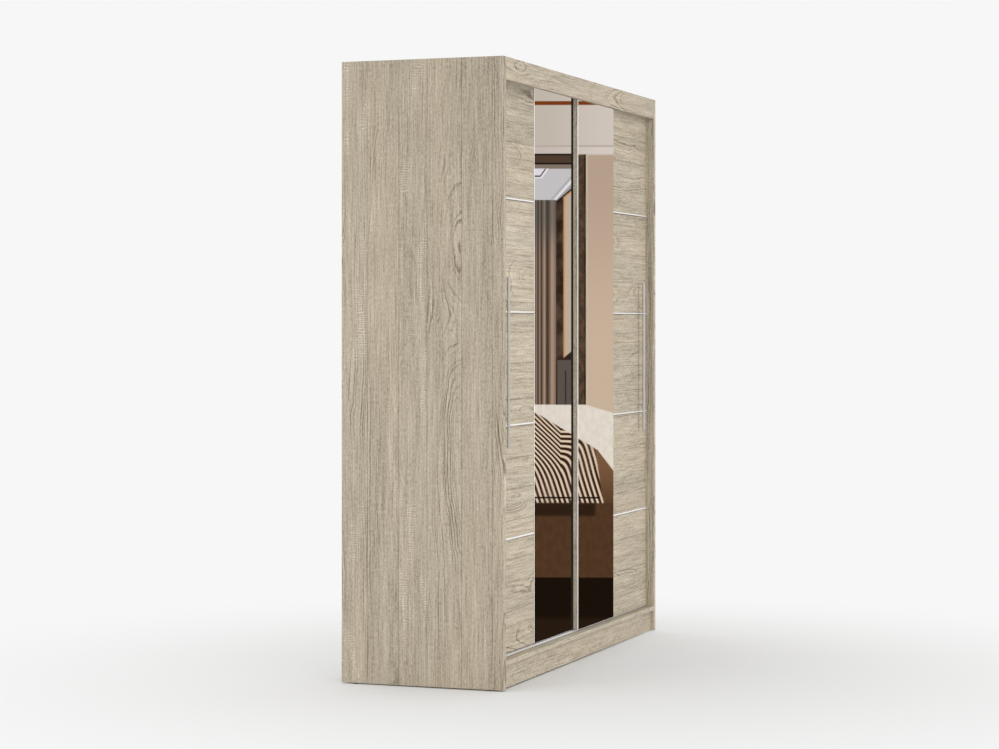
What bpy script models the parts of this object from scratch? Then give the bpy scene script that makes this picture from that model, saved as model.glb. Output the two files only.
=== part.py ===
"""A two-door sliding wardrobe, one object for each of its separate pieces.

Metres.  X runs across the width, the doors face -Y and Z is up.  The origin is on the floor under the
middle of the wardrobe.  The left door (-X) runs in the rear lane, the right door (+X) in the front lane.
"""
import math

import bmesh
import bpy
from mathutils import Matrix

# Overall size and board thicknesses
WIDTH = 1.800
DEPTH = 0.600
HEIGHT = 2.160
SIDE_BOARD = 0.022
INNER_BOARD = 0.016
BACK_SHEET = 0.003
BACK_RECESS = 0.002             # rear face of the back sheets, inside the rear edges of the sides
EDGE_EASING = 0.0008
GAP = 0.0003                    # between two pieces that touch
CUT_OVERSHOOT = 0.010           # how far a cutting tool runs past an open side

# Carcass
GLIDE_HEIGHT = 0.004
GLIDE_RADIUS = 0.010
GLIDE_INSET = 0.050             # from the front and rear edges of a side panel
PLINTH_HEIGHT = 0.082
PLINTH_SETBACK = 0.015
REAR_PLINTH_INSET = 0.014
FASCIA_HEIGHT = 0.078
SHELF_SETBACK = 0.095           # front edges of the inner boards, behind the front of the sides
SHELF_COUNT = 4
TOP_SHELF_HEIGHT = 1.815
RAIL_DROP = 0.065               # from the underside of the top shelf to the middle of the rail
RAIL_RADIUS = 0.0125
RAIL_WALL = 0.0015
FLANGE_RADIUS = 0.026
FLANGE_PLATE = 0.003
FLANGE_CUP_WALL = 0.0025
FLANGE_CUP_DEPTH = 0.012

# Doors
DOOR_BOARD = 0.016
FRONT_DOOR_SETBACK = 0.034
PASSING_GAP = 0.005             # between the front door's back and the rear door's mirror
DOOR_OVERLAP = 0.014
DOOR_SIDE_CLEARANCE = 0.002
DOOR_BOTTOM = 0.1065
DOOR_TOP = 2.114
MIRROR_GLASS = 0.003
MIRROR_WIDTH = 0.438
STRIP_COUNT = 4
FIRST_STRIP_HEIGHT = 0.500
STRIP_SPACING = 0.395
STRIP_WIDTH = 0.008
STRIP_DEPTH = 0.003
SEAL_WIDTH = 0.008
SEAL_DEPTH = 0.0040
SEAL_INSET = 0.002

# Handles
HANDLE_INSET = 0.112            # bar axis from the door's outer edge
HANDLE_STANDOFF = 0.025         # bar axis from the door's face
HANDLE_MIDDLE = 1.117
HANDLE_LENGTH = 0.590
HANDLE_RADIUS = 0.006
POST_SPACING = 0.390
POST_RADIUS = 0.0045

# Tracks: both lanes have the same section, one lane in the middle of each door's fittings
FITTING_DEPTH = 0.012           # pocket depth in the back of a door
TRACK_MARGIN = 0.008            # from the outer lane's middle to the edge of the profile
LOWER_TRACK_HEIGHT = 0.0035
LOWER_TRACK_BASE = 0.001
RIB_WIDTH = 0.002
NOSE_WIDTH = 0.004              # front lip of the lower track
NOSE_OVERHANG = 0.003
NOSE_THICKNESS = 0.0012
UPPER_TRACK_HEIGHT = 0.025
UPPER_TRACK_WALL = 0.0012
LANE_WIDTH = 0.014

# Rollers and guides
FITTING_INSET = 0.070           # middle of a fitting from the door's side edge
FITTING_WIDTH = 0.044
BRACKET_HEIGHT = 0.040
WHEEL_RADIUS = 0.012
WHEEL_GROOVE_DEPTH = 0.0015
WHEEL_GROOVE_WIDTH = 0.003
WHEEL_WIDTH = 0.006
WHEEL_CAVITY_WIDTH = 0.007
WHEEL_CLEARANCE = 0.001
AXLE_RADIUS = 0.0025
AXLE_LENGTH = 0.0092
HOUSING_HEIGHT = 0.056
PIN_HEAD_RADIUS = 0.006
PIN_HEAD_HEIGHT = 0.014
PIN_HEAD_EASING = 0.002
PIN_STEM_RADIUS = 0.0042
PIN_STEM_LENGTH = 0.042
PIN_TRAVEL = 0.010
PIN_BORE_SPARE = 0.002

TURN_STEPS = 40
ARC_STEPS = 8
QUARTER_TURN = math.pi / 2
ALONG_X = (QUARTER_TURN, 0.0, QUARTER_TURN)     # own Z along world X, own XY plane in the YZ plane
ALONG_MINUS_X = (QUARTER_TURN, 0.0, -QUARTER_TURN)
ALONG_Y = (QUARTER_TURN, 0.0, 0.0)              # own Z along world Y
ALONG_Z = (0.0, 0.0, 0.0)

# Heights and planes that several pieces share
FRONT = -DEPTH / 2
REAR = DEPTH / 2
INNER_HALF_WIDTH = WIDTH / 2 - SIDE_BOARD
BOTTOM_BOARD_Z = (GLIDE_HEIGHT + PLINTH_HEIGHT, GLIDE_HEIGHT + PLINTH_HEIGHT + INNER_BOARD)
TOP_BOARD_Z = (HEIGHT - INNER_BOARD, HEIGHT)
BETWEEN_SIDES = (GAP - INNER_HALF_WIDTH, INNER_HALF_WIDTH - GAP)
BACK_SHEET_Y = (REAR - BACK_RECESS - BACK_SHEET, REAR - BACK_RECESS)
INNER_BOARD_Y = (FRONT + SHELF_SETBACK, BACK_SHEET_Y[0] - GAP)
RIB_TOP = BOTTOM_BOARD_Z[1] + GAP + LOWER_TRACK_HEIGHT
FRONT_DOOR_FACE = FRONT + FRONT_DOOR_SETBACK
REAR_DOOR_FACE = FRONT_DOOR_FACE + DOOR_BOARD + PASSING_GAP + MIRROR_GLASS
LANE_FROM_FACE = DOOR_BOARD - FITTING_DEPTH / 2
FRONT_LANE = FRONT_DOOR_FACE + LANE_FROM_FACE
REAR_LANE = REAR_DOOR_FACE + LANE_FROM_FACE
DOOR_OUTER_EDGE = INNER_HALF_WIDTH - DOOR_SIDE_CLEARANCE
DOOR_WIDTH = DOOR_OUTER_EDGE + DOOR_OVERLAP / 2
WHEEL_AXLE_HEIGHT = RIB_TOP + GAP + WHEEL_RADIUS - WHEEL_GROOVE_DEPTH

# Finish name: linear colour, roughness, metallic
FINISHES = {
    "oak": ((0.445, 0.381, 0.292), 0.55, 0.0),
    "white sheet": ((0.780, 0.775, 0.750), 0.60, 0.0),
    "mirror": ((0.900, 0.910, 0.910), 0.02, 1.0),
    "bright trim": ((0.780, 0.780, 0.790), 0.15, 1.0),
    "brushed steel": ((0.620, 0.610, 0.600), 0.28, 1.0),
    "aluminium": ((0.720, 0.725, 0.730), 0.35, 1.0),
    "dark plastic": ((0.030, 0.030, 0.032), 0.45, 0.0),
    "pale plastic": ((0.700, 0.700, 0.680), 0.40, 0.0),
    "brush": ((0.015, 0.015, 0.015), 0.90, 0.0),
}


def clear_file():
    """Take away every object the file starts with."""
    for item in list(bpy.data.objects):
        bpy.data.objects.remove(item, do_unlink=True)


def new_collection(name):
    """A collection under the scene's own."""
    group = bpy.data.collections.new(name)
    bpy.context.scene.collection.children.link(group)
    return group


def finish(name, kind):
    """One Principled material for one piece."""
    colour, roughness, metallic = FINISHES[kind]
    material = bpy.data.materials.new(name)
    material.use_nodes = True
    shader = material.node_tree.nodes["Principled BSDF"]
    shader.inputs["Base Color"].default_value = (*colour, 1.0)
    shader.inputs["Roughness"].default_value = roughness
    shader.inputs["Metallic"].default_value = metallic
    return material


def place(name, data, centre, kind, turn=ALONG_Z):
    """An object of the wardrobe at its place, or a cutting tool when kind is None."""
    piece = bpy.data.objects.new(name, data)
    piece.location = centre
    piece.rotation_euler = turn
    if kind is None:
        piece.hide_render = True
        piece.display_type = "WIRE"
        CUTTERS.objects.link(piece)
    else:
        data.materials.append(finish(name, kind))
        WARDROBE.objects.link(piece)
    return piece


def block(name, x, y, z, kind=None):
    """A plain rectangular block between three (low, high) limits."""
    limits = (x, y, z)
    size = [high - low for low, high in limits]
    centre = [(high + low) / 2 for low, high in limits]
    mesh = bpy.data.meshes.new(name)
    shape = bmesh.new()
    bmesh.ops.create_cube(shape, size=1.0, matrix=Matrix.Diagonal((*size, 1.0)))
    shape.to_mesh(mesh)
    shape.free()
    return place(name, mesh, centre, kind)


def board(name, x, y, z, kind="oak"):
    """A block with its edges eased."""
    piece = block(name, x, y, z, kind)
    easing = piece.modifiers.new("eased edges", "BEVEL")
    easing.width = EDGE_EASING
    easing.segments = 1
    easing.limit_method = "NONE"
    return piece


def turned(name, profile, centre, turn, kind=None):
    """A body turned about its own Z from (radius, height) points that run from top to bottom.

    A profile that starts on the axis gives a solid body; one that stays off it gives a ring.
    """
    points = [(radius, 0.0, height) for radius, height in profile]
    edges = [(i, i + 1) for i in range(len(points) - 1)]
    if profile[0][0] > 0.0:
        edges.append((len(points) - 1, 0))
    mesh = bpy.data.meshes.new(name)
    mesh.from_pydata(points, edges, [])
    piece = place(name, mesh, centre, kind, turn)
    turning = piece.modifiers.new("turning", "SCREW")
    turning.axis = "Z"
    turning.angle = 2 * math.pi
    turning.steps = TURN_STEPS
    turning.render_steps = TURN_STEPS
    turning.use_merge_vertices = True
    turning.merge_threshold = 0.00005
    turning.use_smooth_shade = True
    return piece


def rod(name, radius, length, centre, turn, kind=None, chamfer=0.0):
    """A round rod along its own Z, its ends chamfered when asked."""
    end = length / 2
    profile = [(0.0, end), (radius - chamfer, end)]
    if chamfer > 0.0:
        profile += [(radius, end - chamfer), (radius, chamfer - end)]
    profile += [(radius - chamfer, -end), (0.0, -end)]
    return turned(name, profile, centre, turn, kind)


def extruded(name, outline, length, centre, turn, kind):
    """A flat outline filled and drawn out along its own Z by the length."""
    curve = bpy.data.curves.new(name, "CURVE")
    curve.dimensions = "2D"
    curve.fill_mode = "BOTH"
    curve.extrude = length / 2
    line = curve.splines.new("POLY")
    line.points.add(len(outline) - 1)
    for point, (across, up) in zip(line.points, outline):
        point.co = (across, up, 0.0, 1.0)
    line.use_cyclic_u = True
    return place(name, curve, centre, kind, turn)


def combine(piece, tool, operation):
    """Cut a tool out of a piece, or join it on."""
    change = piece.modifiers.new(tool.name, "BOOLEAN")
    change.operation = operation
    change.solver = "EXACT"
    change.object = tool


def side_panels():
    """The two full-height sides, each on two glides."""
    for side, sign in (("left", -1), ("right", 1)):
        x = sorted((sign * INNER_HALF_WIDTH, sign * WIDTH / 2))
        board(side + "_side_panel", x, (FRONT, REAR), (GLIDE_HEIGHT, HEIGHT))
        for end, y in (("front", FRONT + GLIDE_INSET), ("rear", REAR - GLIDE_INSET)):
            height = GLIDE_HEIGHT - GAP
            centre = (sum(x) / 2, y, height / 2)
            rod("glide_" + side + "_" + end, GLIDE_RADIUS, height, centre, ALONG_Z, "dark plastic",
                EDGE_EASING)


def top_and_bottom():
    """The two boards that join the sides, and the fascia in front of the upper one."""
    rear_edge = INNER_BOARD_Y[1]
    fascia_back = FRONT + INNER_BOARD
    board("bottom_panel", BETWEEN_SIDES, (FRONT, rear_edge), BOTTOM_BOARD_Z)
    board("top_panel", BETWEEN_SIDES, (fascia_back + GAP, rear_edge), TOP_BOARD_Z)
    board("top_fascia", BETWEEN_SIDES, (FRONT, fascia_back), (HEIGHT - FASCIA_HEIGHT, HEIGHT))


def plinths():
    """The boards that carry the bottom board."""
    z = (GLIDE_HEIGHT, BOTTOM_BOARD_Z[0] - GAP)
    front_back = FRONT + PLINTH_SETBACK + INNER_BOARD
    rear_front = REAR - REAR_PLINTH_INSET - INNER_BOARD
    board("front_plinth", BETWEEN_SIDES, (FRONT + PLINTH_SETBACK, front_back), z)
    board("rear_plinth", BETWEEN_SIDES, (rear_front, REAR - REAR_PLINTH_INSET), z)
    half = INNER_BOARD / 2
    board("plinth_brace", (-half, half), (front_back + GAP, rear_front - GAP), z)


def partition_and_back():
    """The middle upright and the two thin sheets that close the back."""
    half = INNER_BOARD / 2
    z = (BOTTOM_BOARD_Z[1] + GAP, TOP_BOARD_Z[0] - GAP)
    board("centre_partition", (-half, half), INNER_BOARD_Y, z)
    reach = INNER_HALF_WIDTH - GAP
    z = (BOTTOM_BOARD_Z[0], HEIGHT)
    board("back_panel_left", (-reach, -GAP / 2), BACK_SHEET_Y, z, "white sheet")
    board("back_panel_right", (GAP / 2, reach), BACK_SHEET_Y, z, "white sheet")


def shelves():
    """One high shelf on the hanging side, evenly spaced shelves on the other."""
    near = INNER_BOARD / 2 + GAP
    far = INNER_HALF_WIDTH - GAP
    board("left_top_shelf", (-far, -near), INNER_BOARD_Y, (TOP_SHELF_HEIGHT, TOP_SHELF_HEIGHT + INNER_BOARD))
    clear_height = TOP_BOARD_Z[0] - BOTTOM_BOARD_Z[1] - SHELF_COUNT * INNER_BOARD
    pitch = clear_height / (SHELF_COUNT + 1) + INNER_BOARD
    for number in range(1, SHELF_COUNT + 1):
        top = BOTTOM_BOARD_Z[1] + number * pitch
        board("right_shelf_%d" % number, (near, far), INNER_BOARD_Y, (top - INNER_BOARD, top))


def hanging_rail():
    """A steel tube held between two flanged cups under the high shelf."""
    left_end = -INNER_HALF_WIDTH
    right_end = -INNER_BOARD / 2
    y = sum(INNER_BOARD_Y) / 2
    z = TOP_SHELF_HEIGHT - RAIL_DROP
    half = (right_end - left_end) / 2 - FLANGE_PLATE - 2 * GAP
    bore = RAIL_RADIUS - RAIL_WALL
    tube = [(bore, half), (RAIL_RADIUS, half), (RAIL_RADIUS, -half), (bore, -half)]
    turned("hanging_rail", tube, ((left_end + right_end) / 2, y, z), ALONG_X, "bright trim")
    cup_bore = RAIL_RADIUS + GAP
    cup_outside = cup_bore + FLANGE_CUP_WALL
    cup_top = FLANGE_PLATE + FLANGE_CUP_DEPTH
    cup = [
        (0.0, FLANGE_PLATE),
        (cup_bore, FLANGE_PLATE),
        (cup_bore, cup_top),
        (cup_outside, cup_top),
        (cup_outside, FLANGE_PLATE),
        (FLANGE_RADIUS, FLANGE_PLATE),
        (FLANGE_RADIUS, 0.0),
        (0.0, 0.0),
    ]
    turned("rail_flange_left", cup, (left_end + GAP, y, z), ALONG_X, "bright trim")
    turned("rail_flange_right", cup, (right_end - GAP, y, z), ALONG_MINUS_X, "bright trim")


def comb_section(teeth, back, base, tip):
    """The outline of a strip from height back to height base, with a tooth out to height tip on each span."""
    outline = [(teeth[0][0], back), (teeth[-1][1], back)]
    for low, high in reversed(teeth):
        outline += [(high, base), (high, tip), (low, tip), (low, base)]
    first_corner_on_edge = 2
    del outline[first_corner_on_edge]
    del outline[-1]
    return outline


def lower_track():
    """A low profile with a rib under each row of wheels, a lip behind and an overhanging nose in front."""
    front = FRONT_LANE - TRACK_MARGIN
    back = REAR_LANE + TRACK_MARGIN
    half = RIB_WIDTH / 2
    ribs = [
        (front, front + NOSE_WIDTH),
        (FRONT_LANE - half, FRONT_LANE + half),
        (REAR_LANE - half, REAR_LANE + half),
        (back - RIB_WIDTH, back),
    ]
    section = comb_section(ribs, 0.0, LOWER_TRACK_BASE, LOWER_TRACK_HEIGHT)
    foot = front + NOSE_OVERHANG
    under_nose = LOWER_TRACK_HEIGHT - NOSE_THICKNESS
    section[:1] = [(front, under_nose), (foot, under_nose), (foot, 0.0)]
    centre = (0.0, 0.0, BOTTOM_BOARD_Z[1] + GAP)
    extruded("lower_track", section, 2 * BETWEEN_SIDES[1], centre, ALONG_X, "aluminium")


def upper_track():
    """A profile with two channels that open downward, one over each door."""
    near = LANE_WIDTH / 2
    far = near + UPPER_TRACK_WALL
    walls = []
    for lane in (FRONT_LANE, REAR_LANE):
        walls += [(lane - far, lane - near), (lane + near, lane + far)]
    section = comb_section(walls, UPPER_TRACK_HEIGHT, UPPER_TRACK_HEIGHT - UPPER_TRACK_WALL, 0.0)
    centre = (0.0, 0.0, TOP_BOARD_Z[0] - GAP - UPPER_TRACK_HEIGHT)
    extruded("upper_track", section, 2 * BETWEEN_SIDES[1], centre, ALONG_X, "aluminium")


def door_board(door, x, face, fitting_places):
    """The door's board, with a pocket in its back for each roller and each guide."""
    back = face + DOOR_BOARD
    piece = board(door + "_board", x, (face, back), (DOOR_BOTTOM, DOOR_TOP))
    half = FITTING_WIDTH / 2 + GAP
    heights = {
        "roller": (DOOR_BOTTOM - CUT_OVERSHOOT, DOOR_BOTTOM + BRACKET_HEIGHT + GAP),
        "guide": (DOOR_TOP - HOUSING_HEIGHT - GAP, DOOR_TOP + CUT_OVERSHOOT),
    }
    for where, middle in fitting_places.items():
        for use, z in heights.items():
            pocket_x = (middle - half, middle + half)
            pocket_y = (back - FITTING_DEPTH, back + CUT_OVERSHOOT)
            pocket = block(door + "_" + use + "_pocket_" + where, pocket_x, pocket_y, z)
            combine(piece, pocket, "DIFFERENCE")


def door_trims(door, x_strip, x_mirror, face):
    """The mirror on the inner half and the half-round strips across the outer half."""
    mirror_y = (face - MIRROR_GLASS - GAP, face - GAP)
    board(door + "_mirror", x_mirror, mirror_y, (DOOR_BOTTOM, DOOR_TOP), "mirror")
    arc = [math.pi * step / ARC_STEPS for step in range(ARC_STEPS + 1)]
    half_round = [(-STRIP_DEPTH * math.sin(a), STRIP_WIDTH / 2 * math.cos(a)) for a in arc]
    length = x_strip[1] - x_strip[0]
    for number in range(1, STRIP_COUNT + 1):
        z = FIRST_STRIP_HEIGHT + (number - 1) * STRIP_SPACING
        centre = (sum(x_strip) / 2, face - GAP, z)
        extruded("%s_strip_%d" % (door, number), half_round, length, centre, ALONG_X, "bright trim")


def door_handle(door, x, face):
    """A long bar on two posts, each post hollowed to sit against the bar."""
    axis_y = face - HANDLE_STANDOFF
    centre = (x, axis_y, HANDLE_MIDDLE)
    rod(door + "_handle_bar", HANDLE_RADIUS, HANDLE_LENGTH, centre, ALONG_Z, "brushed steel", EDGE_EASING)
    saddle = rod(door + "_saddle", HANDLE_RADIUS + GAP, HANDLE_LENGTH, centre, ALONG_Z)
    length = HANDLE_STANDOFF - GAP
    for level, sign in (("upper", 1), ("lower", -1)):
        middle = (x, face - GAP - length / 2, HANDLE_MIDDLE + sign * POST_SPACING / 2)
        post = rod(door + "_handle_post_" + level, POST_RADIUS, length, middle, ALONG_Y, "brushed steel")
        combine(post, saddle, "DIFFERENCE")


def roller(door, where, x, lane):
    """A bracket with a fixed axle, and the grooved wheel that turns on it."""
    half_width = FITTING_WIDTH / 2
    half_depth = FITTING_DEPTH / 2 - GAP
    name = door + "_roller_bracket_" + where
    bracket_z = (DOOR_BOTTOM, DOOR_BOTTOM + BRACKET_HEIGHT)
    bracket = board(name, (x - half_width, x + half_width), (lane - half_depth, lane + half_depth),
                    bracket_z, "dark plastic")
    centre = (x, lane, WHEEL_AXLE_HEIGHT)
    cavity_radius = WHEEL_RADIUS + WHEEL_CLEARANCE
    half_cavity = WHEEL_CAVITY_WIDTH / 2
    cavity = rod(name + "_cavity", cavity_radius, WHEEL_CAVITY_WIDTH, centre, ALONG_Y)
    mouth = block(name + "_mouth", (x - cavity_radius, x + cavity_radius),
                  (lane - half_cavity, lane + half_cavity),
                  (DOOR_BOTTOM - CUT_OVERSHOOT, WHEEL_AXLE_HEIGHT))
    axle = rod(name + "_axle", AXLE_RADIUS, AXLE_LENGTH, centre, ALONG_Y)
    combine(bracket, cavity, "DIFFERENCE")
    combine(bracket, mouth, "DIFFERENCE")
    combine(bracket, axle, "UNION")
    bore = AXLE_RADIUS + GAP
    half = WHEEL_WIDTH / 2
    groove = WHEEL_GROOVE_WIDTH / 2
    floor = WHEEL_RADIUS - WHEEL_GROOVE_DEPTH
    profile = [
        (bore, half),
        (WHEEL_RADIUS, half),
        (WHEEL_RADIUS, groove),
        (floor, groove),
        (floor, -groove),
        (WHEEL_RADIUS, -groove),
        (WHEEL_RADIUS, -half),
        (bore, -half),
    ]
    turned(door + "_roller_wheel_" + where, profile, centre, ALONG_Y, "pale plastic")


def guide(door, where, x, lane):
    """A housing bored for a spring pin, and the pin whose head runs in the upper track."""
    half_width = FITTING_WIDTH / 2
    half_depth = FITTING_DEPTH / 2 - GAP
    name = door + "_guide_housing_" + where
    housing = board(name, (x - half_width, x + half_width), (lane - half_depth, lane + half_depth),
                    (DOOR_TOP - HOUSING_HEIGHT, DOOR_TOP), "dark plastic")
    head_bottom = DOOR_TOP + PIN_TRAVEL + GAP
    bore_bottom = head_bottom - PIN_STEM_LENGTH - PIN_TRAVEL - PIN_BORE_SPARE
    bore_length = head_bottom - bore_bottom
    bore = rod(name + "_bore", PIN_STEM_RADIUS + GAP, bore_length, (x, lane, bore_bottom + bore_length / 2),
               ALONG_Z)
    combine(housing, bore, "DIFFERENCE")
    profile = [
        (0.0, PIN_HEAD_HEIGHT),
        (PIN_HEAD_RADIUS - PIN_HEAD_EASING, PIN_HEAD_HEIGHT),
        (PIN_HEAD_RADIUS, PIN_HEAD_HEIGHT - PIN_HEAD_EASING),
        (PIN_HEAD_RADIUS, 0.0),
        (PIN_STEM_RADIUS, 0.0),
        (PIN_STEM_RADIUS, -PIN_STEM_LENGTH),
        (0.0, -PIN_STEM_LENGTH),
    ]
    turned(door + "_guide_pin_" + where, profile, (x, lane, head_bottom), ALONG_Z, "pale plastic")


def sliding_door(side, sign, face):
    """One complete door; sign is -1 for the left and 1 for the right."""
    door = side + "_door"
    outer = sign * DOOR_OUTER_EDGE
    inner = outer - sign * DOOR_WIDTH
    seam = inner + sign * MIRROR_WIDTH
    fitting_places = {"outer": outer - sign * FITTING_INSET, "inner": inner + sign * FITTING_INSET}
    door_board(door, sorted((outer, inner)), face, fitting_places)
    door_trims(door, sorted((outer, seam + sign * GAP)), sorted((seam, inner)), face)
    door_handle(door, outer - sign * HANDLE_INSET, face)
    for where, x in fitting_places.items():
        roller(door, where, x, face + LANE_FROM_FACE)
        guide(door, where, x, face + LANE_FROM_FACE)


def door_seal():
    """The brush on the back of the front door that closes the gap to the rear door."""
    edge = DOOR_OUTER_EDGE - DOOR_WIDTH + SEAL_INSET
    back = FRONT_DOOR_FACE + DOOR_BOARD + GAP
    board("right_door_seal", (edge, edge + SEAL_WIDTH), (back, back + SEAL_DEPTH),
          (DOOR_BOTTOM + SEAL_INSET, DOOR_TOP - SEAL_INSET), "brush")


clear_file()
WARDROBE = new_collection("sliding_door_wardrobe")
CUTTERS = new_collection("cutters")
side_panels()
top_and_bottom()
plinths()
partition_and_back()
shelves()
hanging_rail()
lower_track()
upper_track()
sliding_door("left", -1, REAR_DOOR_FACE)
sliding_door("right", 1, FRONT_DOOR_FACE)
door_seal()
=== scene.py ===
"""Looks of the sliding door wardrobe: laminate, mirrors, metal, back sheets, stage, light and camera."""

import math

import bmesh
import bpy
from mathutils import Matrix, Vector


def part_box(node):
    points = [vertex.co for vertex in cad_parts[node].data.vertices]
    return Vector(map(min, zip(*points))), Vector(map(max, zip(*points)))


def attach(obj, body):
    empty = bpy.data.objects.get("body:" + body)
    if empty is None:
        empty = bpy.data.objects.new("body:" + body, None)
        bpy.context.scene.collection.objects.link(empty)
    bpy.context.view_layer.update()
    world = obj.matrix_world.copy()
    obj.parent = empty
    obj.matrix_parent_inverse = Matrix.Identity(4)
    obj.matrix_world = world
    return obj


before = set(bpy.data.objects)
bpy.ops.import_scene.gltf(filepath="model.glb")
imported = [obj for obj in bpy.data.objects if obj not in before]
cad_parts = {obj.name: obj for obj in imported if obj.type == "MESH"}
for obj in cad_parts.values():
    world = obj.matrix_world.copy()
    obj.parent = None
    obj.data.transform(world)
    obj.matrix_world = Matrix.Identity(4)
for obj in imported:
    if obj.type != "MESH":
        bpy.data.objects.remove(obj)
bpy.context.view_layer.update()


def tint(red, green, blue):
    """The linear colour of a screen colour given from 0 to 255."""
    parts = [channel / 255 for channel in (red, green, blue)]
    linear = [part / 12.92 if part <= 0.04045 else ((part + 0.055) / 1.055) ** 2.4 for part in parts]
    return (*linear, 1.0)


# Sawn oak laminate: the print's colours from its darkest line to its palest fleck
OAK_STOPS = (
    (0.00, tint(104, 95, 79)),
    (0.30, tint(142, 132, 116)),
    (0.50, tint(165, 155, 139)),
    (0.70, tint(177, 168, 152)),
    (1.00, tint(208, 201, 188)),
)
OAK_WARM = tint(255, 252, 247)          # washes multiplied over the print in broad drifts
OAK_COOL = tint(253, 252, 250)
SAW_PITCH = 0.0085                      # metres from one saw mark to the next
UPRIGHT_STRIPE = 0.105                  # usual width in metres of a stripe of the print, on uprights
LEVEL_STRIPE = 0.115                    # and on everything else

MIRROR_TINT = tint(250, 251, 250)
GLASS_EDGE = tint(244, 246, 242)

# Pieces that only the visual model has, in metres
FACE_GAP = 0.00005                      # between the front door's board and its face sheet
FACE_SHEET = 0.0001
EDGE_EASE = 0.0006                      # how far the face sheet stays inside the board's edges
NAIL_RADIUS = 0.004
NAIL_HEAD = 0.0012
NAIL_MARGIN = 0.012                     # from a back sheet's edge to its nails
NAIL_PITCH = 0.150
JOINT_STRIP_WIDTH = 0.024
JOINT_STRIP_DEPTH = 0.0014
JOINT_STRIP_GAP = 0.0001

# What the mirrors show: a plain bedroom, in degrees across from this bearing and up from the horizon
ROOM_BEARING = -18.4
ROOM_REACH = 12.0                       # it fades to the plain studio from half of this on both sides
ROOM_HEIGHT = 14.0                      # from half of this upwards
ROOM_DEPTH = -11.0                      # and from here down to twice this
STUDIO_SHADE = (-12.0, 6.0)             # heights between which the plain studio turns from grey to pale
WALL_TOP = 3.88
RAIL = (5.01, 5.10)                     # picture rail on the upper wall
CORNICE_TOP = 4.05
LINTEL_LOW = 3.557
CURTAIN_TOP = 2.84
CURTAIN_EDGE = -0.45
POST_LEFT = -0.09                       # dark door post
POST_RIGHT = 0.235
NICHE_LEFT = -0.4575
NICHE_CLIMB = 0.84                      # its top climbs towards the post, in degrees per degree
BED_TOP = -1.87
THROW_TOP = -2.606
BASE_TOP = -4.12
MATTRESS_LOW = -5.0                     # behind the base
FLOOR_TOP = -5.82
BELOW_FLOOR = -40.0
STRIPE_PITCH = 0.115                    # of the throw's stripes

# Stage and backdrop
BACKDROP = 0.93
FLOOR_TONE = (0.86, 0.86, 0.855, 1.0)
FLOOR_RADIUS = 60.0
FLOOR_CENTRE = (-0.4, -0.3, 0.0)        # of the round patch that takes the wardrobe's soft shade
FLOOR_FADE = (0.3, 2.8)                 # distances from there between which it turns into the backdrop

# Lights: metres and watts
KEY = {"place": (-5.0, 3.0, 3.6), "target": (-0.5, -0.3, 0.8), "size": 3.0, "power": 26.0}
FILL = {"place": (-3.9, -6.1, 5.6), "target": (0.0, -0.3, 1.0), "size": 2.0, "power": 180.0}
SIDE_REFLECTOR = {"place": (-3.4, 0.6, 0.25), "target": (-0.9, 0.0, 0.5), "size": 1.6, "power": 28.0}
FRONT_REFLECTOR = {"place": (-0.6, -3.4, 0.8), "target": (0.3, -0.3, 0.4), "size": 1.2, "power": 50.0}

# The photograph's camera, solved from the wardrobe's own corner lines
CAMERA_PLACE = (-8.840, -3.199, 1.251)
CAMERA_TURN = (math.pi / 2, 0.0, -1.21899)
CAMERA_SENSOR = 36.0
CAMERA_LENS = 89.76
CAMERA_SHIFT = -0.0511
VIEW_LIMIT = 200.0                      # metres; past the floor's far edge

added_pieces = []


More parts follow.
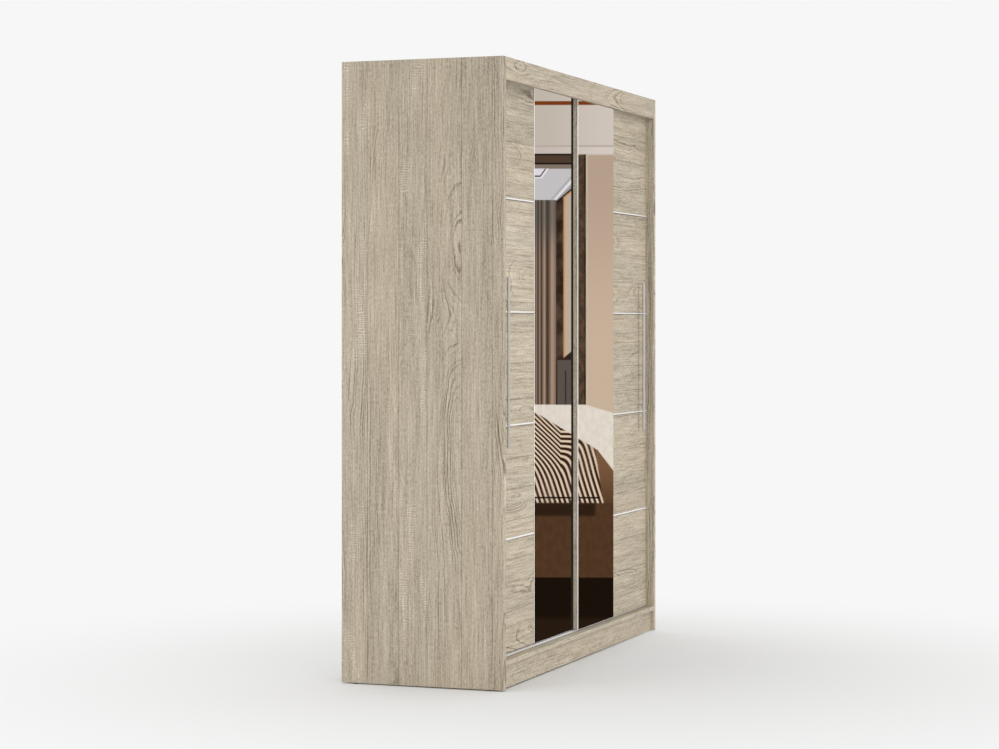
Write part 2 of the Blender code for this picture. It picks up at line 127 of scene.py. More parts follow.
class Graph:
    """Short calls that add nodes to one node tree and join them."""

    def __init__(self, tree):
        self.tree = tree

    def node(self, kind, **settings):
        """A node with its settings."""
        made = self.tree.nodes.new(kind)
        for name, value in settings.items():
            setattr(made, name, value)
        return made

    def feed(self, socket, value):
        """Join an output to the socket, or set the socket to a plain value."""
        if isinstance(value, bpy.types.NodeSocket):
            self.tree.links.new(value, socket)
        else:
            socket.default_value = value

    def math(self, operation, a, b=0.0, c=0.0, clamp=False):
        """The result of one Math node."""
        made = self.node("ShaderNodeMath", operation=operation, use_clamp=clamp)
        for socket, value in zip(made.inputs, (a, b, c)):
            self.feed(socket, value)
        return made.outputs[0]

    def combine(self, x, y, z):
        """A vector from three numbers."""
        made = self.node("ShaderNodeCombineXYZ")
        for socket, value in zip(made.inputs, (x, y, z)):
            self.feed(socket, value)
        return made.outputs[0]

    def separate(self, vector):
        """The three numbers of a vector."""
        made = self.node("ShaderNodeSeparateXYZ")
        self.feed(made.inputs[0], vector)
        return made.outputs

    def stretch(self, vector, factors):
        """A vector with each of its parts multiplied."""
        made = self.node("ShaderNodeVectorMath", operation="MULTIPLY")
        self.feed(made.inputs[0], vector)
        self.feed(made.inputs[1], factors)
        return made.outputs[0]

    def noise(self, vector, detail=2.0, roughness=0.5):
        """Noise over a vector."""
        made = self.node("ShaderNodeTexNoise")
        self.feed(made.inputs["Vector"], vector)
        made.inputs["Scale"].default_value = 1.0
        made.inputs["Detail"].default_value = detail
        made.inputs["Roughness"].default_value = roughness
        return made.outputs["Fac"]

    def line_noise(self, along, detail=2.0, roughness=0.5):
        """Noise along a single number."""
        made = self.node("ShaderNodeTexNoise", noise_dimensions="1D")
        self.feed(made.inputs["W"], along)
        made.inputs["Scale"].default_value = 1.0
        made.inputs["Detail"].default_value = detail
        made.inputs["Roughness"].default_value = roughness
        return made.outputs["Fac"]

    def span(self, value, low, high, out_low=0.0, out_high=1.0):
        """A value carried from one range to another, with soft ends."""
        made = self.node("ShaderNodeMapRange", interpolation_type="SMOOTHSTEP")
        for socket, given in zip(made.inputs, (value, low, high, out_low, out_high)):
            self.feed(socket, given)
        return made.outputs[0]

    def ramp(self, factor, stops):
        """A colour ramp from (place, colour) stops."""
        made = self.node("ShaderNodeValToRGB")
        elements = made.color_ramp.elements
        while len(elements) < len(stops):
            elements.new(0.5)
        for element, (place, colour) in zip(elements, stops):
            element.position = place
            element.color = colour
        self.feed(made.inputs[0], factor)
        return made.outputs[0]

    def mix(self, factor, a, b, kind="RGBA", blend="MIX"):
        """Two colours or two vectors mixed."""
        made = self.node("ShaderNodeMix", data_type=kind, blend_type=blend)
        slots = {"RGBA": (6, 7, 2), "VECTOR": (4, 5, 1)}[kind]
        self.feed(made.inputs[0], factor)
        self.feed(made.inputs[slots[0]], a)
        self.feed(made.inputs[slots[1]], b)
        return made.outputs[slots[2]]

    def bump(self, height, distance, strength):
        """A normal from a height between 0 and 1."""
        made = self.node("ShaderNodeBump")
        made.inputs["Strength"].default_value = strength
        made.inputs["Distance"].default_value = distance
        self.feed(made.inputs["Height"], height)
        return made.outputs["Normal"]


def new_material(name):
    """A material with its Principled shader, ready for more nodes."""
    material = bpy.data.materials.new(name)
    material.use_nodes = True
    graph = Graph(material.node_tree)
    shader = material.node_tree.nodes["Principled BSDF"]
    return material, graph, shader


def oak_stripes(graph, across, stripe):
    """The glued stripes of the print: their random values, how far in a point lies, and the joint line."""
    plank = graph.node("ShaderNodeTexVoronoi", voronoi_dimensions="1D", feature="F1")
    joint = graph.node("ShaderNodeTexVoronoi", voronoi_dimensions="1D", feature="DISTANCE_TO_EDGE")
    pitch = graph.math("DIVIDE", 1.0, stripe)
    for texture in (plank, joint):
        graph.feed(texture.inputs["W"], across)
        graph.feed(texture.inputs["Scale"], pitch)
        texture.inputs["Randomness"].default_value = 0.85
    inside = graph.math("SUBTRACT", across, plank.outputs["W"])
    line = graph.span(joint.outputs["Distance"], 0.004, 0.018, 1.0, 0.0)
    return graph.separate(plank.outputs["Color"]), inside, line


def oak_rings(graph, inside, place, tone):
    """Growth rings: nested arches round a heart that wanders below the face of each stripe."""
    drift = graph.noise(graph.stretch(place, (2.0, 2.0, 1.1)), detail=2.0)
    ripple = graph.noise(graph.stretch(place, (26.0, 26.0, 9.0)), detail=2.0)
    heart = graph.math("MULTIPLY", graph.math("SUBTRACT", tone, 0.5), 0.16)
    beside = graph.math("SUBTRACT", inside, heart)
    below = graph.math("MULTIPLY_ADD", drift, 0.30, -0.09)
    squares = graph.math("MULTIPLY_ADD", beside, beside, graph.math("POWER", below, 2.0))
    radius = graph.math("SQRT", squares)
    radius = graph.math("MULTIPLY_ADD", ripple, 0.016, radius)
    return graph.line_noise(graph.math("MULTIPLY", radius, 230.0), detail=2.0, roughness=0.6)


def oak_ring_strength(graph, place, character):
    """How plainly the rings show: strongly only in parts of some stripes."""
    wild = graph.noise(graph.stretch(place, (9.0, 9.0, 2.2)), detail=1.0)
    wild = graph.math("MULTIPLY", graph.span(wild, 0.46, 0.66), graph.span(character, 0.25, 0.9))
    return graph.math("MULTIPLY_ADD", wild, 0.80, 0.14)


def oak_saw_marks(graph, place, tone):
    """Pale cross cuts of a band saw, in patches a few stripes apart."""
    along = graph.separate(place)[2]
    waver = graph.noise(graph.stretch(place, (16.0, 16.0, 30.0)), detail=1.0)
    cuts = graph.math("MULTIPLY_ADD", waver, 2.2, graph.math("DIVIDE", along, SAW_PITCH))
    cuts = graph.math("SINE", graph.math("MULTIPLY", cuts, 2 * math.pi))
    patches = graph.noise(graph.stretch(place, (24.0, 24.0, 5.5)), detail=1.0)
    marks = graph.math("MULTIPLY", graph.span(cuts, 0.1, 0.95), graph.span(patches, 0.53, 0.68))
    return graph.math("MULTIPLY", marks, graph.span(tone, 0.1, 0.6, 0.35, 1.0))


def oak_group():
    """An empty node group with the print's inputs and outputs."""
    tree = bpy.data.node_groups.new("sawn_oak", "ShaderNodeTree")
    sockets = (
        ("Grain", "INPUT", "NodeSocketVector"),
        ("Stripe", "INPUT", "NodeSocketFloat"),
        ("Color", "OUTPUT", "NodeSocketColor"),
        ("Roughness", "OUTPUT", "NodeSocketFloat"),
        ("Height", "OUTPUT", "NodeSocketFloat"),
    )
    for name, direction, kind in sockets:
        tree.interface.new_socket(name, in_out=direction, socket_type=kind)
    return tree


def oak_level(graph, level, layers):
    """A level with layers added: each is its values, the value that changes nothing, and its weight."""
    for values, neutral, weight in layers:
        level = graph.math("MULTIPLY_ADD", graph.math("SUBTRACT", values, neutral), weight, level)
    return graph.math("ADD", level, 0.5, clamp=True)


def oak_figure():
    """The laminate's print as a group: stripes, growth rings, fibres, pores and saw marks.

    It takes a vector of metres across the grain, through the board and along the grain, and the width of
    the print's stripes. The layers of noise are stretched by their features per metre in that order.
    """
    tree = oak_group()
    graph = Graph(tree)
    given = graph.node("NodeGroupInput").outputs
    across, through, along = graph.separate(given["Grain"])
    (tone, shift, character), inside, joint = oak_stripes(graph, across, given["Stripe"])
    # Each stripe shows wood from another place: up to 9 m further along and 5 m further across
    moved_on = graph.math("MULTIPLY_ADD", shift, 9.0, along)
    place = graph.combine(graph.math("MULTIPLY_ADD", tone, 5.0, across), through, moved_on)

    rings = graph.span(oak_rings(graph, inside, place, tone), 0.34, 0.52, -0.42, 0.08)
    rings = graph.math("MULTIPLY", rings, oak_ring_strength(graph, place, character))
    fibres = graph.noise(graph.stretch(place, (220.0, 220.0, 6.0)), detail=3.0, roughness=0.7)
    flecks = graph.noise(graph.stretch(place, (190.0, 190.0, 85.0)), detail=2.0, roughness=0.7)
    streaks = graph.noise(graph.stretch(place, (55.0, 55.0, 1.4)), detail=3.0, roughness=0.6)
    clouds = graph.noise(graph.stretch(place, (9.0, 9.0, 0.9)), detail=2.0)
    pores = graph.span(graph.noise(graph.stretch(place, (420.0, 420.0, 34.0)), detail=1.0), 0.60, 0.74)
    saw = oak_saw_marks(graph, place, tone)

    level = oak_level(graph, rings, (
        (fibres, 0.5, 1.15),
        (flecks, 0.5, 0.85),
        (streaks, 0.5, 0.45),
        (clouds, 0.5, 0.22),
        (tone, 0.5, 0.06),
        (saw, 0.0, 0.24),
        (pores, 0.0, -0.10),
        (joint, 0.0, -0.30),
    ))
    wash = graph.mix(graph.span(clouds, 0.35, 0.65), OAK_COOL, OAK_WARM)
    colour = graph.mix(1.0, graph.ramp(level, OAK_STOPS), wash, blend="MULTIPLY")
    relief = graph.math("MULTIPLY_ADD", saw, 0.8, fibres)
    result = graph.node("NodeGroupOutput")
    graph.feed(result.inputs["Color"], colour)
    graph.feed(result.inputs["Roughness"], graph.span(level, 0.0, 1.0, 0.64, 0.50))
    graph.feed(result.inputs["Height"], relief)
    return tree


def oak_material(name, figure_tree, order, edge_axis, offset, stripe):
    """Laminate whose grain vector takes the object's axes in the given order (across, through, along).

    The faces that look along edge_axis are edge bands: their print runs the other way round.
    """
    material, graph, shader = new_material(name)
    place = graph.node("ShaderNodeTexCoord")
    moved = graph.node("ShaderNodeVectorMath", operation="ADD")
    graph.feed(moved.inputs[0], place.outputs["Object"])
    graph.feed(moved.inputs[1], offset)
    axes = graph.separate(moved.outputs[0])
    grain = graph.combine(*[axes["XYZ".index(axis)] for axis in order])
    band_order = order[2] + order[1] + order[0]
    band = graph.combine(*[axes["XYZ".index(axis)] for axis in band_order])
    facing = graph.math("ABSOLUTE", graph.separate(place.outputs["Normal"])["XYZ".index(edge_axis)])
    on_band = graph.math("GREATER_THAN", facing, 0.7)
    figure = graph.node("ShaderNodeGroup", node_tree=figure_tree)
    graph.feed(figure.inputs["Grain"], graph.mix(on_band, grain, band, "VECTOR"))
    figure.inputs["Stripe"].default_value = stripe
    graph.feed(shader.inputs["Base Color"], figure.outputs["Color"])
    graph.feed(shader.inputs["Roughness"], figure.outputs["Roughness"])
    graph.feed(shader.inputs["Normal"], graph.bump(figure.outputs["Height"], 0.0005, 0.6))
    shader.inputs["Specular IOR Level"].default_value = 0.30
    return material


def mirror_material():
    """Silvered glass: a clean reflection on the face, the glass's own pale tone at the edges."""
    material, graph, shader = new_material("mirror_glass")
    place = graph.node("ShaderNodeTexCoord")
    facing = graph.separate(place.outputs["Normal"])[1]
    on_face = graph.math("LESS_THAN", facing, -0.99)
    haze = graph.noise(graph.stretch(place.outputs["Object"], (6.0, 6.0, 6.0)), detail=3.0)
    graph.feed(shader.inputs["Base Color"], graph.mix(on_face, GLASS_EDGE, MIRROR_TINT))
    graph.feed(shader.inputs["Metallic"], on_face)
    graph.feed(shader.inputs["Roughness"], graph.span(haze, 0.3, 0.8, 0.004, 0.012))
    return material


def metal_material(name, colour, low, high, brushing, metallic=1.0):
    """Metal with brushed lines in its roughness, from low to high, and in its fine relief.

    Brushing is the number of lines per metre on each axis.
    """
    material, graph, shader = new_material(name)
    place = graph.node("ShaderNodeTexCoord")
    lines = graph.noise(graph.stretch(place.outputs["Object"], brushing), detail=3.0, roughness=0.6)
    cloud = graph.noise(graph.stretch(place.outputs["Object"], (30.0, 30.0, 30.0)), detail=2.0)
    mixed = graph.math("MULTIPLY_ADD", cloud, 0.5, graph.math("MULTIPLY", lines, 0.5))
    shader.inputs["Base Color"].default_value = colour
    shader.inputs["Metallic"].default_value = metallic
    graph.feed(shader.inputs["Roughness"], graph.span(mixed, 0.25, 0.75, low, high))
    graph.feed(shader.inputs["Normal"], graph.bump(lines, 0.00003, 0.4))
    return material


def strip_material():
    """Bright half-round trim, with painted shade along its lower flank: faces that point down are coloured
    dark.
    """
    material, graph, shader = new_material("bright_strip")
    place = graph.node("ShaderNodeTexCoord")
    upward = graph.separate(place.outputs["Normal"])[2]
    lines = graph.noise(graph.stretch(place.outputs["Object"], (12.0, 900.0, 900.0)), detail=3.0)
    # painted shade: where the normal points down, the base colour turns dark
    colour = graph.mix(graph.span(upward, -0.45, -0.25), tint(104, 98, 90), tint(240, 240, 238))
    graph.feed(shader.inputs["Base Color"], colour)
    shader.inputs["Metallic"].default_value = 0.45
    graph.feed(shader.inputs["Roughness"], graph.span(lines, 0.25, 0.75, 0.28, 0.42))
    return material


def plastic_material(name, colour, roughness):
    """Moulded plastic with a fine spark-eroded texture."""
    material, graph, shader = new_material(name)
    place = graph.node("ShaderNodeTexCoord")
    grit = graph.noise(graph.stretch(place.outputs["Object"], (1800.0, 1800.0, 1800.0)), detail=2.0)
    cloud = graph.noise(graph.stretch(place.outputs["Object"], (60.0, 60.0, 60.0)), detail=2.0)
    darker = tuple(0.85 * part for part in colour[:3]) + (1.0,)
    graph.feed(shader.inputs["Base Color"], graph.mix(cloud, darker, colour))
    graph.feed(shader.inputs["Roughness"], graph.span(grit, 0.2, 0.8, roughness - 0.06, roughness + 0.08))
    graph.feed(shader.inputs["Normal"], graph.bump(grit, 0.00005, 0.5))
    return material


def sheet_material():
    """White-faced fibreboard: a faint pressed mottling and a fine tooth."""
    material, graph, shader = new_material("back_sheet")
    place = graph.node("ShaderNodeTexCoord")
    spot = place.outputs["Object"]
    mottle = graph.noise(graph.stretch(spot, (9.0, 9.0, 9.0)), detail=4.0, roughness=0.7)
    tooth = graph.noise(graph.stretch(spot, (900.0, 900.0, 900.0)), detail=2.0)
    colour = graph.mix(graph.span(mottle, 0.3, 0.7), tint(222, 220, 216), tint(227, 225, 221))
    graph.feed(shader.inputs["Base Color"], colour)
    graph.feed(shader.inputs["Roughness"], graph.span(tooth, 0.2, 0.8, 0.50, 0.66))
    graph.feed(shader.inputs["Normal"], graph.bump(tooth, 0.00006, 0.4))
    return material


def brush_material():
    """Dense black pile: hairs that run straight out of the door's back."""
    material, graph, shader = new_material("brush_pile")
    place = graph.node("ShaderNodeTexCoord")
    hairs = graph.noise(graph.stretch(place.outputs["Object"], (2600.0, 90.0, 2600.0)), detail=2.0)
    colour = graph.mix(graph.span(hairs, 0.3, 0.7), tint(6, 6, 6), tint(26, 26, 25))
    graph.feed(shader.inputs["Base Color"], colour)
    shader.inputs["Roughness"].default_value = 0.85
    shader.inputs["Sheen Weight"].default_value = 0.2
    graph.feed(shader.inputs["Normal"], graph.bump(hairs, 0.0004, 0.8))
    return material


def dress(node, material):
    """Give a CAD node its material."""
    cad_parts[node].data.materials.clear()
    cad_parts[node].data.materials.append(material)


def dress_boards():
    """Vertical grain on the uprights, grain along the width on everything else."""
    figure_tree = oak_figure()
    upright = ("left_side_panel", "right_side_panel", "centre_partition")
    flat = ("top_panel", "bottom_panel", "left_top_shelf", "right_shelf_1", "right_shelf_2",
            "right_shelf_3", "right_shelf_4")
    facing = ("top_fascia", "front_plinth", "rear_plinth", "left_door_board", "right_door_board")
    layouts = [(node, "YXZ", "Z", UPRIGHT_STRIPE) for node in upright]
    layouts += [(node, "YZX", "X", LEVEL_STRIPE) for node in flat]
    layouts += [(node, "ZYX", "X", LEVEL_STRIPE) for node in facing]
    layouts.append(("plinth_brace", "ZXY", "Y", LEVEL_STRIPE))
    for number, (node, order, edge_axis, stripe) in enumerate(layouts):
        offset = (0.37 * number, 0.53 * number, 0.71 * number)
        dress(node, oak_material("oak_" + node, figure_tree, order, edge_axis, offset, stripe))


def dress_fittings():
    """Everything that isn't laminate."""
    mirror = mirror_material()
    chrome = metal_material("bright_trim", tint(240, 240, 241), 0.06, 0.14, (12.0, 900.0, 900.0))
    trim = strip_material()
    steel = metal_material("satin_steel", tint(216, 215, 213), 0.14, 0.24, (900.0, 900.0, 14.0))
    alloy = metal_material("anodised_track", tint(236, 236, 236), 0.30, 0.42, (10.0, 1200.0, 1200.0), 0.50)
    dark = plastic_material("dark_plastic", tint(47, 47, 49), 0.42)
    pale = plastic_material("nylon", tint(212, 210, 205), 0.34)
    sheet = sheet_material()
    brush = brush_material()
    looks = (
        ("mirror", mirror), ("strip", trim), ("hanging_rail", chrome), ("rail_flange", chrome),
        ("handle", steel), ("track", alloy), ("glide", dark), ("bracket", dark), ("housing", dark),
        ("wheel", pale), ("guide_pin", pale), ("back_panel", sheet), ("seal", brush),
    )
    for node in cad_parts:
        for word, material in looks:
            if word in node:
                dress(node, material)


def keep_mirrors_clear():
    """Hide from reflections the boards beside the rear mirror, which don't show in the photograph's."""
    beside = ("right_door_board", "right_door_mirror", "top_fascia", "bottom_panel", "lower_track",
              "front_plinth", "plinth_brace")
    for node in beside:
        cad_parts[node].visible_glossy = False


def block(centre, size):
    """A bmesh of one box."""
    place = Matrix.Translation(centre) @ Matrix.Diagonal((*size, 1.0))
    shape = bmesh.new()
    bmesh.ops.create_cube(shape, size=1.0, matrix=place)
    return shape


def front_door_face():
    """The melamine face of the front door's board: what its handle and strips reflect.

    The board itself is hidden from reflections by keep_mirrors_clear.
    """
    board_low, board_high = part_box("right_door_board")
    mirror_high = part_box("right_door_mirror")[1]
    rear = board_low[1] - FACE_GAP
    low = Vector((mirror_high[0] + EDGE_EASE, rear - FACE_SHEET, board_low[2] + EDGE_EASE))
    high = Vector((board_high[0] - EDGE_EASE, rear, board_high[2] - EDGE_EASE))
    shape = block((low + high) / 2, high - low)
    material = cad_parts["right_door_board"].data.materials[0]
    add_piece("right_door_face", shape, material, "right_door")


def nail_places():
    """Where the back sheets are nailed: all round each sheet, beside the cover strip at their joint."""
    places = []
    for sheet in ("back_panel_left", "back_panel_right"):
        low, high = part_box(sheet)
        across = [low[0] + NAIL_MARGIN, high[0] - NAIL_MARGIN]
        up = [low[2] + NAIL_MARGIN / 2, high[2] - NAIL_MARGIN / 2]
        steps_up = round((up[1] - up[0]) / NAIL_PITCH)
        steps_across = round((across[1] - across[0]) / NAIL_PITCH)
        beside_strip = math.copysign(JOINT_STRIP_WIDTH * 0.9, sum(across))
        for step in range(steps_up + 1):
            z = up[0] + (up[1] - up[0]) * step / steps_up
            places += [(x, z) for x in across if abs(x) > JOINT_STRIP_WIDTH]
            places.append((beside_strip, z))
        for step in range(1, steps_across):
            x = across[0] + (across[1] - across[0]) * step / steps_across
            places += [(x, z) for z in up]
    return places


def back_nails(material):
    """Flat nail heads pressed onto the back sheets."""
    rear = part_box("back_panel_left")[1][1]
    shape = bmesh.new()
    for x, z in nail_places():
        turn = Matrix.Translation((x, rear + NAIL_HEAD / 2, z)) @ Matrix.Rotation(math.pi / 2, 4, "X")
        bmesh.ops.create_cone(shape, cap_ends=True, segments=12, radius1=NAIL_RADIUS,
                              radius2=NAIL_RADIUS * 0.7, depth=NAIL_HEAD, matrix=turn)
    add_piece("back_nails", shape, material, "carcass")


def back_joint_strip(material):
    """A thin plastic cover strip over the joint between the two back sheets."""
    low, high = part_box("back_panel_left")
    half = JOINT_STRIP_WIDTH / 2
    size = (JOINT_STRIP_WIDTH, JOINT_STRIP_DEPTH, high[2] - low[2] - 2 * half)
    centre = (0.0, high[1] + JOINT_STRIP_DEPTH / 2 + JOINT_STRIP_GAP, (high[2] + low[2]) / 2)
    shape = block(centre, size)
    outer = [edge for edge in shape.edges if all(vert.co.y > centre[1] for vert in edge.verts)]
    bmesh.ops.bevel(shape, geom=outer, offset=JOINT_STRIP_DEPTH * 0.6, segments=3, profile=0.5,
                    affect="EDGES")
    add_piece("back_joint_strip", shape, material, "carcass")


def add_piece(name, shape, material, body):
    """Turn a finished bmesh into a piece that rides on a body."""
    mesh = bpy.data.meshes.new(name)
    shape.to_mesh(mesh)
    shape.free()
    mesh.materials.append(material)
    piece = bpy.data.objects.new(name, mesh)
    bpy.context.scene.collection.objects.link(piece)
    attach(piece, body)
    added_pieces.append(piece)


def floor_material():
    """Pale paper near the wardrobe that turns into the backdrop's own glow with distance."""
    material = bpy.data.materials.new("studio_floor")
    material.use_nodes = True
    material.node_tree.nodes.clear()
    graph = Graph(material.node_tree)
    paper = graph.node("ShaderNodeBsdfDiffuse")
    paper.inputs["Color"].default_value = FLOOR_TONE
    glow = graph.node("ShaderNodeEmission")
    glow.inputs["Color"].default_value = (BACKDROP, BACKDROP, BACKDROP, 1.0)
    moved = graph.node("ShaderNodeVectorMath", operation="SUBTRACT")
    graph.feed(moved.inputs[0], graph.node("ShaderNodeTexCoord").outputs["Object"])
    graph.feed(moved.inputs[1], FLOOR_CENTRE)
    length = graph.node("ShaderNodeVectorMath", operation="LENGTH")
    graph.feed(length.inputs[0], moved.outputs[0])
    blend = graph.node("ShaderNodeMixShader")
    graph.feed(blend.inputs[0], graph.span(length.outputs["Value"], *FLOOR_FADE))
    graph.feed(blend.inputs[1], paper.outputs[0])
    graph.feed(blend.inputs[2], glow.outputs[0])
    graph.feed(graph.node("ShaderNodeOutputMaterial").inputs[0], blend.outputs[0])
    return material


def stage_floor():
    """A wide round floor under the wardrobe."""
    shape = bmesh.new()
    bmesh.ops.create_circle(shape, cap_ends=True, segments=96, radius=FLOOR_RADIUS)
    mesh = bpy.data.meshes.new("floor")
    shape.to_mesh(mesh)
    shape.free()
    mesh.materials.append(floor_material())
    floor = bpy.data.objects.new("floor", mesh)
    bpy.context.scene.collection.objects.link(floor)
    floor.visible_glossy = False


class Room:
    """The bedroom that the mirrors show, painted in layers; all its places are in degrees."""

    def __init__(self, graph):
        self.graph = graph
        x, y, z = graph.separate(graph.node("ShaderNodeTexCoord").outputs["Generated"])
        bearing = graph.math("DEGREES", graph.math("ARCTAN2", y, x))
        self.across = graph.math("SUBTRACT", bearing, ROOM_BEARING)
        self.rise = graph.math("DEGREES", graph.math("ARCSINE", z))
        self.cloud = graph.noise(graph.combine(self.across, self.rise, 0.0), detail=3.0, roughness=0.6)
        self.fine = graph.noise(graph.combine(graph.math("MULTIPLY", self.across, 9.0),
                                              graph.math("MULTIPLY", self.rise, 5.0), 0.0), detail=3.0)
        shade = graph.span(self.rise, *STUDIO_SHADE)
        self.studio = graph.mix(shade, tint(198, 197, 194), tint(238, 238, 238))
        self.colour = self.studio

    def inside(self, value, low, high, soft):
        """1 between two limits, falling softly to 0 beyond them."""
        graph = self.graph
        rising = graph.span(value, low - soft, low + soft)
        falling = graph.span(value, high - soft, high + soft, 1.0, 0.0)
        return graph.math("MULTIPLY", rising, falling)

    def area(self, left, right, low, high, lean=0.0, slant=0.0, soft=0.012):
        """A soft-edged area.

        Its level edges climb by lean for each degree across. Its upright edges move across by slant for
        each degree up.
        """
        height = self.graph.math("MULTIPLY_ADD", self.across, -lean, self.rise)
        place = self.graph.math("MULTIPLY_ADD", self.rise, -slant, self.across)
        return self.graph.math("MULTIPLY", self.inside(place, left, right, soft),
                               self.inside(height, low, high, soft))

    def paint(self, mask, colour):
        """One more layer."""
        self.colour = self.graph.mix(mask, self.colour, colour)

    def blend(self, value, low, high, first, last):
        """A colour that goes from the first to the last as a value goes from low to high."""
        return self.graph.mix(self.graph.span(value, low, high), first, last)

    def walls(self):
        """The pale upper wall with its picture rail and cornice, the tan wall and the dark door post."""
        wide = ROOM_REACH
        upper = self.blend(self.across, -0.9, 0.9, tint(195, 184, 172), tint(210, 198, 189))
        cornice = self.blend(self.across, -0.9, 0.9, tint(200, 188, 180), tint(216, 204, 196))
        tan = self.blend(self.rise, -0.5, 3.6, tint(203, 179, 156), tint(184, 161, 142))
        post = self.blend(self.fine, 0.35, 0.7, tint(70, 54, 41), tint(98, 74, 54))
        self.paint(self.area(-wide, wide, WALL_TOP, ROOM_HEIGHT), upper)
        self.paint(self.area(-wide, wide, *RAIL), tint(122, 58, 22))
        self.paint(self.area(-wide, wide, WALL_TOP, CORNICE_TOP), cornice)
        self.paint(self.area(-wide, wide, CORNICE_TOP, CORNICE_TOP + 0.04), tint(184, 171, 162))
        self.paint(self.area(0.0, wide, 2 * BED_TOP, WALL_TOP, soft=0.03), tan)
        self.paint(self.area(POST_LEFT, POST_RIGHT, BED_TOP, WALL_TOP), post)
        self.paint(self.area(POST_RIGHT - 0.04, POST_RIGHT, BED_TOP, WALL_TOP), tint(30, 19, 13))
        self.paint(self.area(POST_RIGHT, POST_RIGHT + 0.027, BED_TOP, WALL_TOP), tint(214, 196, 180))

    def ceiling(self):
        """Left of the post: the lintel, the ceiling with its coffer and a cornice that runs into depth."""
        wide = ROOM_REACH
        self.paint(self.area(-wide, POST_LEFT, CURTAIN_TOP, WALL_TOP), tint(198, 194, 196))
        self.paint(self.area(-wide, POST_LEFT, LINTEL_LOW, WALL_TOP), tint(80, 61, 49))
        self.paint(self.area(-wide, POST_LEFT, LINTEL_LOW, 3.66), tint(132, 116, 106))
        for line in (3.67, WALL_TOP):
            self.paint(self.area(-wide, POST_LEFT, line - 0.02, line + 0.02), tint(30, 20, 15))
        for reach, low, colour in (
            (-3.13, 3.335, tint(232, 230, 234)),
            (-3.18, 3.365, tint(92, 44, 26)),
            (-3.215, 3.40, tint(222, 218, 226)),
        ):
            self.paint(self.area(-wide, reach, low, LINTEL_LOW, slant=0.704), colour)
        self.paint(self.area(-0.56, POST_LEFT, 3.47, 3.50, lean=1.13), tint(150, 146, 150))
        self.paint(self.area(-0.56, POST_LEFT, 3.36, 3.41, lean=1.13), tint(236, 236, 240))
        self.paint(self.area(-0.50, POST_LEFT, 3.20, 3.29, lean=1.0), tint(160, 156, 160))

    def curtain(self):
        """Folds that are dark and grey at the top, brown below."""
        place = self.graph.math("MULTIPLY", self.across, 6.5)
        folds = self.graph.line_noise(place, detail=3.0, roughness=0.7)
        low_cloth = self.blend(folds, 0.42, 0.60, tint(66, 52, 43), tint(166, 140, 121))
        top_cloth = self.blend(folds, 0.42, 0.60, tint(70, 62, 55), tint(122, 111, 101))
        cloth = self.blend(self.rise, 1.4, 2.5, low_cloth, top_cloth)
        self.paint(self.area(-ROOM_REACH, CURTAIN_EDGE, BED_TOP, CURTAIN_TOP), cloth)

    def alcove(self):
        """Between the curtain and the post: a dark niche with a lit panel, and a cupboard."""
        dark = self.blend(self.cloud, 0.4, 0.65, tint(42, 30, 23), tint(92, 72, 60))
        for left, low, high, colour in (
            (NICHE_LEFT, -4.0, 3.19, tint(24, 18, 15)),
            (NICHE_LEFT, -4.0, 3.14, dark),
            (-0.285, -0.55, 3.14, tint(206, 150, 96)),
            (-0.255, -0.55, 3.10, tint(191, 173, 152)),
        ):
            self.paint(self.area(left, POST_LEFT, low, high, lean=NICHE_CLIMB), colour)
        self.paint(self.area(NICHE_LEFT, POST_LEFT, BED_TOP, -0.80), tint(50, 38, 32))
        self.paint(self.area(-0.425, POST_LEFT, BED_TOP, -0.84), tint(92, 82, 76))
        self.paint(self.area(-0.25, -0.225, BED_TOP, -1.08), tint(34, 25, 21))

    def bed(self):
        """White bedding and the brown frame that shows past its corner."""
        wide = ROOM_REACH
        linen = self.blend(self.fine, 0.35, 0.65, tint(222, 211, 200), tint(231, 220, 208))
        self.paint(self.area(-wide, 0.24, MATTRESS_LOW, BED_TOP), linen)
        self.paint(self.area(POST_RIGHT, wide, MATTRESS_LOW, BED_TOP + 0.072, lean=-0.30), linen)
        frame_tone = self.blend(self.rise, -4.4, -3.2, tint(82, 57, 37), tint(120, 86, 61))
        self.paint(self.area(0.0, 0.50, MATTRESS_LOW, THROW_TOP, lean=-0.60), frame_tone)
        self.paint(self.area(0.49, wide, MATTRESS_LOW, THROW_TOP + 0.35, lean=-1.30), frame_tone)

    def throw(self):
        """A striped throw: its stripes lean on the bed's top and turn down over its edge."""
        graph = self.graph
        right_part = graph.math("MAXIMUM", graph.math("ADD", self.across, 0.35), 0.0)
        over_fold = graph.math("MULTIPLY_ADD", right_part, -1.3, graph.math("ADD", self.rise, 3.3))
        over_fold = graph.math("SMOOTH_MAX", over_fold, 0.0, 0.5)
        stripe_at = graph.math("MULTIPLY_ADD", over_fold, 0.75, self.across)
        stripe_at = graph.math("MULTIPLY_ADD", self.rise, 0.29, stripe_at)
        stripe_at = graph.math("MULTIPLY_ADD", graph.line_noise(self.rise, detail=1.0), 0.06, stripe_at)
        stripes = graph.math("SINE", graph.math("MULTIPLY", stripe_at, 2 * math.pi / STRIPE_PITCH))
        cloth = self.blend(stripes, -0.2, 0.6, tint(56, 36, 24), tint(226, 201, 176))
        over_bed = self.area(-ROOM_REACH, -0.026, MATTRESS_LOW, THROW_TOP, lean=-0.606, slant=-0.16)
        self.paint(over_bed, cloth)

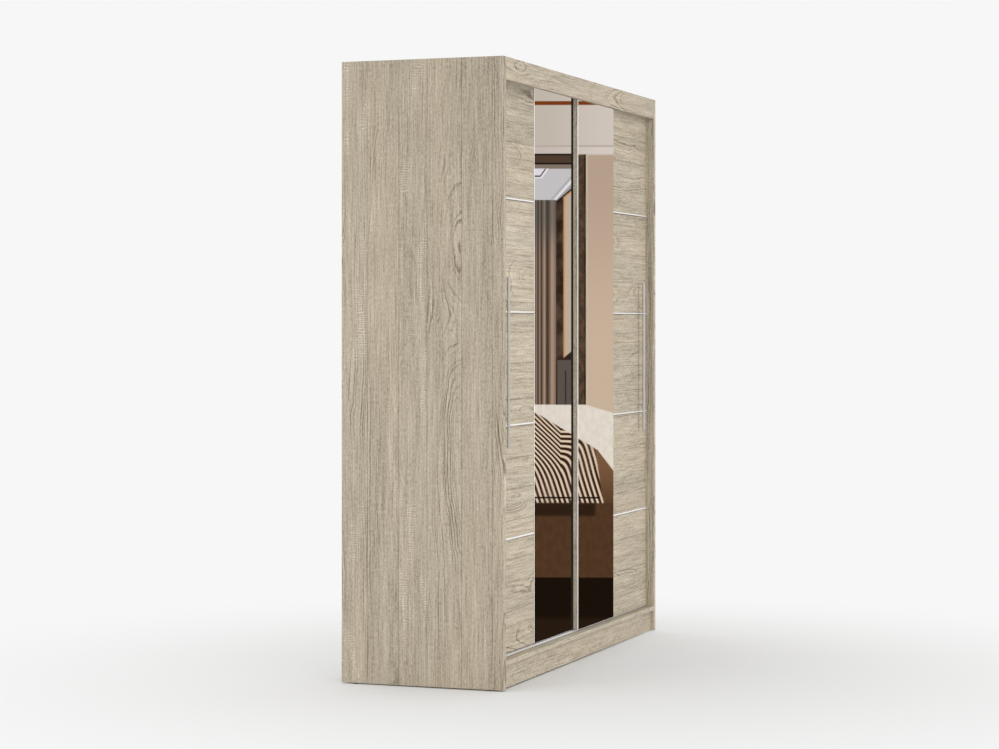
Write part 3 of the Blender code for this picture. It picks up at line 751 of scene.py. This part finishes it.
    def base(self):
        """The bed's brown base with painted shade under the throw and a dark joint line, and the dark
        floor under it.
        """
        wide = ROOM_REACH
        wood = self.blend(self.fine, 0.35, 0.65, tint(78, 53, 35), tint(84, 58, 39))
        self.paint(self.area(-wide, wide, -7.0, BASE_TOP), wood)
        # painted shade: the base is darker just below the throw
        self.paint(self.area(-wide, 0.45, BASE_TOP - 0.30, BASE_TOP, soft=0.05), tint(48, 32, 21))
        self.paint(self.area(-wide, 0.56, BASE_TOP + 0.10, BASE_TOP + 0.14), tint(30, 19, 12))
        self.paint(self.area(-wide, wide, BELOW_FLOOR, FLOOR_TOP), tint(26, 17, 10))
        self.paint(self.area(-wide, wide, BELOW_FLOOR, -6.75, soft=0.1), tint(40, 28, 18))

    def light(self):
        """The finished picture, fading to the pale studio all round."""
        graph = self.graph
        aside = graph.math("ABSOLUTE", self.across)
        fade = graph.span(aside, ROOM_REACH / 2, ROOM_REACH, 1.0, 0.0)
        fade = graph.math("MULTIPLY", fade, graph.span(self.rise, 2 * ROOM_DEPTH, ROOM_DEPTH))
        fade = graph.math("MULTIPLY", fade, graph.span(self.rise, ROOM_HEIGHT / 2, ROOM_HEIGHT, 1.0, 0.0))
        return graph.mix(fade, self.studio, self.colour)


def surroundings():
    """Even pale light all round; glossy surfaces also see the room in front of the mirrors."""
    world = bpy.data.worlds.new("studio")
    world.use_nodes = True
    graph = Graph(world.node_tree)
    background = world.node_tree.nodes["Background"]
    room = Room(graph)
    room.walls()
    room.ceiling()
    room.curtain()
    room.alcove()
    room.bed()
    room.throw()
    room.base()
    glossy = graph.node("ShaderNodeLightPath").outputs["Is Glossy Ray"]
    plain = (BACKDROP, BACKDROP, BACKDROP, 1.0)
    graph.feed(background.inputs["Color"], graph.mix(glossy, plain, room.light()))
    bpy.context.scene.world = world


def area_light(name, place, target, size, power, only=None):
    """A soft square light aimed at a point; only limits it to the objects of a collection."""
    data = bpy.data.lights.new(name, "AREA")
    data.shape = "SQUARE"
    data.size = size
    data.energy = power
    lamp = bpy.data.objects.new(name, data)
    lamp.location = place
    aim = Vector(target) - Vector(place)
    lamp.rotation_euler = aim.to_track_quat("-Z", "Y").to_euler()
    lamp.visible_glossy = False
    bpy.context.scene.collection.objects.link(lamp)
    if only is not None:
        lamp.light_linking.receiver_collection = only


def studio():
    """Pale surroundings, a key from the left rear, and a fill and two reflectors for the wardrobe only."""
    surroundings()
    wardrobe = bpy.data.collections.new("lit_by_fill")
    for piece in (*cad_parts.values(), *added_pieces):
        wardrobe.objects.link(piece)
    area_light("key", **KEY)
    area_light("fill", **FILL, only=wardrobe)
    area_light("side_reflector", **SIDE_REFLECTOR, only=wardrobe)
    area_light("front_reflector", **FRONT_REFLECTOR, only=wardrobe)
    bpy.context.scene.view_settings.view_transform = "Standard"


def camera():
    """The photograph's view: level, from the front left, far away on a long lens."""
    data = bpy.data.cameras.new("camera")
    data.sensor_width = CAMERA_SENSOR
    data.lens = CAMERA_LENS
    data.shift_y = CAMERA_SHIFT
    data.clip_end = VIEW_LIMIT
    eye = bpy.data.objects.new("camera", data)
    eye.location = CAMERA_PLACE
    eye.rotation_euler = CAMERA_TURN
    bpy.context.scene.collection.objects.link(eye)
    bpy.context.scene.camera = eye


dress_boards()
dress_fittings()
keep_mirrors_clear()
front_door_face()
back_nails(metal_material("nail_steel", tint(176, 175, 173), 0.30, 0.45, (300.0, 300.0, 300.0)))
back_joint_strip(plastic_material("white_plastic", tint(226, 225, 221), 0.38))
stage_floor()
studio()
camera()
